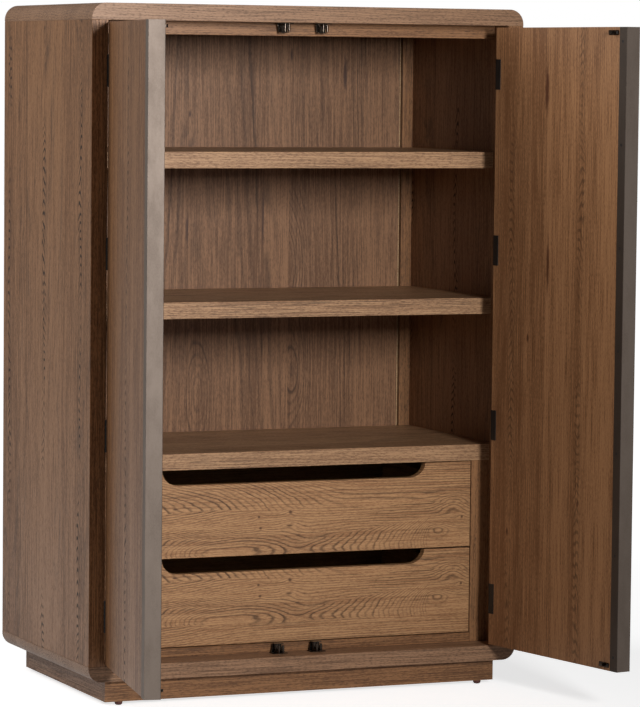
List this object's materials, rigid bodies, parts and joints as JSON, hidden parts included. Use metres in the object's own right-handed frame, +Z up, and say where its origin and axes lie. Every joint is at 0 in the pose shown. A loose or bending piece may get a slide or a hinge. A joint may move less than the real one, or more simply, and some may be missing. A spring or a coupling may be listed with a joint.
{
  "type": "chifforobe",
  "caption": "Free-standing wooden chifforobe with hinged metal-edged doors, shelves, scoop-fronted sliding drawers, sprung roller catches and a recessed plinth on glides.",
  "frame": {"origin": "on the floor, under the centre of the bounding box with the doors open as in the picture", "axes": "+Z up, +X to the right as seen from the front, +Y from the front to the back"},
  "size_m": [1.166, 1.1017, 1.5845],
  "materials": {
    "oak": "smoked oak, brushed grain under a matt oil",
    "plain_wood": "plain planed wood, hidden inside",
    "edge_metal": "warm grey patinated metal",
    "black_metal": "black satin coat",
    "nickel": "bright nickel plate",
    "slide_steel": "zinc-plated steel",
    "glide": "reddish-brown matt"
  },
  "bodies": {
    "carcass": {"back_board": "plain_wood", "back_planks": "oak", "back_stiles": "oak", "bottom_front_rail": "oak", "bottom_panel": "oak", "carcass_screws": "black_metal", "catch_frames": "nickel", "dowels": "plain_wood", "drawer_case_sides": "plain_wood", "drawer_case_top": "oak", "foot_glides": "glide", "left_drawer_stile": "oak", "left_frame_leaves": "black_metal", "left_front_post": "oak", "left_hinge_pins": "black_metal", "left_side_panel": "oak", "lower_shelf": "oak", "plinth_blocks": "plain_wood", "plinth_rails": "oak", "plinth_sides": "oak", "right_drawer_stile": "oak", "right_frame_leaves": "black_metal", "right_front_post": "oak", "right_hinge_pins": "black_metal", "right_side_panel": "oak", "slide_case_members": "slide_steel", "top_front_rail": "oak", "top_panel": "oak", "upper_shelf": "oak"},
    "left_door": {"left_door_panel": "oak", "left_edge_channel": "edge_metal", "left_hinge_leaves": "black_metal", "left_strikes": "nickel", "left_door_screws": "black_metal"},
    "right_door": {"right_door_panel": "oak", "right_edge_channel": "edge_metal", "right_hinge_leaves": "black_metal", "right_strikes": "nickel", "right_door_screws": "black_metal"},
    "upper_drawer": {"upper_drawer_front": "oak", "upper_drawer_sides": "plain_wood", "upper_drawer_back": "plain_wood", "upper_drawer_bottom": "plain_wood", "upper_drawer_slide_inner": "slide_steel"},
    "upper_slide": {"upper_drawer_slide_middle": "slide_steel"},
    "lower_drawer": {"lower_drawer_front": "oak", "lower_drawer_sides": "plain_wood", "lower_drawer_back": "plain_wood", "lower_drawer_bottom": "plain_wood", "lower_drawer_slide_inner": "slide_steel"},
    "lower_slide": {"lower_drawer_slide_middle": "slide_steel"},
    "catch_arm_lower_left_a": {"catch_arm_lower_left_a": "nickel"},
    "catch_arm_lower_left_b": {"catch_arm_lower_left_b": "nickel"},
    "catch_arm_lower_right_a": {"catch_arm_lower_right_a": "nickel"},
    "catch_arm_lower_right_b": {"catch_arm_lower_right_b": "nickel"},
    "catch_arm_upper_left_a": {"catch_arm_upper_left_a": "nickel"},
    "catch_arm_upper_left_b": {"catch_arm_upper_left_b": "nickel"},
    "catch_arm_upper_right_a": {"catch_arm_upper_right_a": "nickel"},
    "catch_arm_upper_right_b": {"catch_arm_upper_right_b": "nickel"}
  },
  "joints": [
    {"name": "left_door_swing", "type": "hinge", "parent": "carcass", "child": "left_door", "pos_m": [-0.4947, -0.05928, 0.8], "axis": [0, 0, -1], "range_deg": [-100, 70]},
    {"name": "right_door_swing", "type": "hinge", "parent": "carcass", "child": "right_door", "pos_m": [0.4947, -0.05928, 0.8], "axis": [0, 0, 1], "range_deg": [-100, 70]},
    {"name": "upper_drawer_slide", "type": "slide", "parent": "carcass", "child": "upper_drawer", "axis": [0, -1, 0], "range_m": [0, 0.4]},
    {"name": "lower_drawer_slide", "type": "slide", "parent": "carcass", "child": "lower_drawer", "axis": [0, -1, 0], "range_m": [0, 0.4]},
    {"name": "upper_slide_travel", "type": "slide", "parent": "carcass", "child": "upper_slide", "axis": [0, -1, 0], "range_m": [0, 0.2]},
    {"name": "lower_slide_travel", "type": "slide", "parent": "carcass", "child": "lower_slide", "axis": [0, -1, 0], "range_m": [0, 0.2]},
    {"name": "arm_lower_left_a_spread", "type": "hinge", "parent": "carcass", "child": "catch_arm_lower_left_a", "pos_m": [-0.054, -0.00148, 0.0985], "axis": [0, 0, -1], "range_deg": [0, 12], "stiffness_Nm_per_rad": 0.3, "springref_deg": -5.73},
    {"name": "arm_lower_left_b_spread", "type": "hinge", "parent": "carcass", "child": "catch_arm_lower_left_b", "pos_m": [-0.041, -0.00148, 0.0985], "axis": [0, 0, 1], "range_deg": [0, 12], "stiffness_Nm_per_rad": 0.3, "springref_deg": -5.73},
    {"name": "arm_lower_right_a_spread", "type": "hinge", "parent": "carcass", "child": "catch_arm_lower_right_a", "pos_m": [0.041, -0.00148, 0.0985], "axis": [0, 0, -1], "range_deg": [0, 12], "stiffness_Nm_per_rad": 0.3, "springref_deg": -5.73},
    {"name": "arm_lower_right_b_spread", "type": "hinge", "parent": "carcass", "child": "catch_arm_lower_right_b", "pos_m": [0.054, -0.00148, 0.0985], "axis": [0, 0, 1], "range_deg": [0, 12], "stiffness_Nm_per_rad": 0.3, "springref_deg": -5.73},
    {"name": "arm_upper_left_a_spread", "type": "hinge", "parent": "carcass", "child": "catch_arm_upper_left_a", "pos_m": [-0.054, -0.00148, 1.5415], "axis": [0, 0, -1], "range_deg": [0, 12], "stiffness_Nm_per_rad": 0.3, "springref_deg": -5.73},
    {"name": "arm_upper_left_b_spread", "type": "hinge", "parent": "carcass", "child": "catch_arm_upper_left_b", "pos_m": [-0.041, -0.00148, 1.5415], "axis": [0, 0, 1], "range_deg": [0, 12], "stiffness_Nm_per_rad": 0.3, "springref_deg": -5.73},
    {"name": "arm_upper_right_a_spread", "type": "hinge", "parent": "carcass", "child": "catch_arm_upper_right_a", "pos_m": [0.041, -0.00148, 1.5415], "axis": [0, 0, -1], "range_deg": [0, 12], "stiffness_Nm_per_rad": 0.3, "springref_deg": -5.73},
    {"name": "arm_upper_right_b_spread", "type": "hinge", "parent": "carcass", "child": "catch_arm_upper_right_b", "pos_m": [0.054, -0.00148, 1.5415], "axis": [0, 0, 1], "range_deg": [0, 12], "stiffness_Nm_per_rad": 0.3, "springref_deg": -5.73}
  ],
  "couplings": [
    {"joint": "upper_slide_travel", "follows": "upper_drawer_slide", "ratio": 0.5},
    {"joint": "lower_slide_travel", "follows": "lower_drawer_slide", "ratio": 0.5}
  ]
}
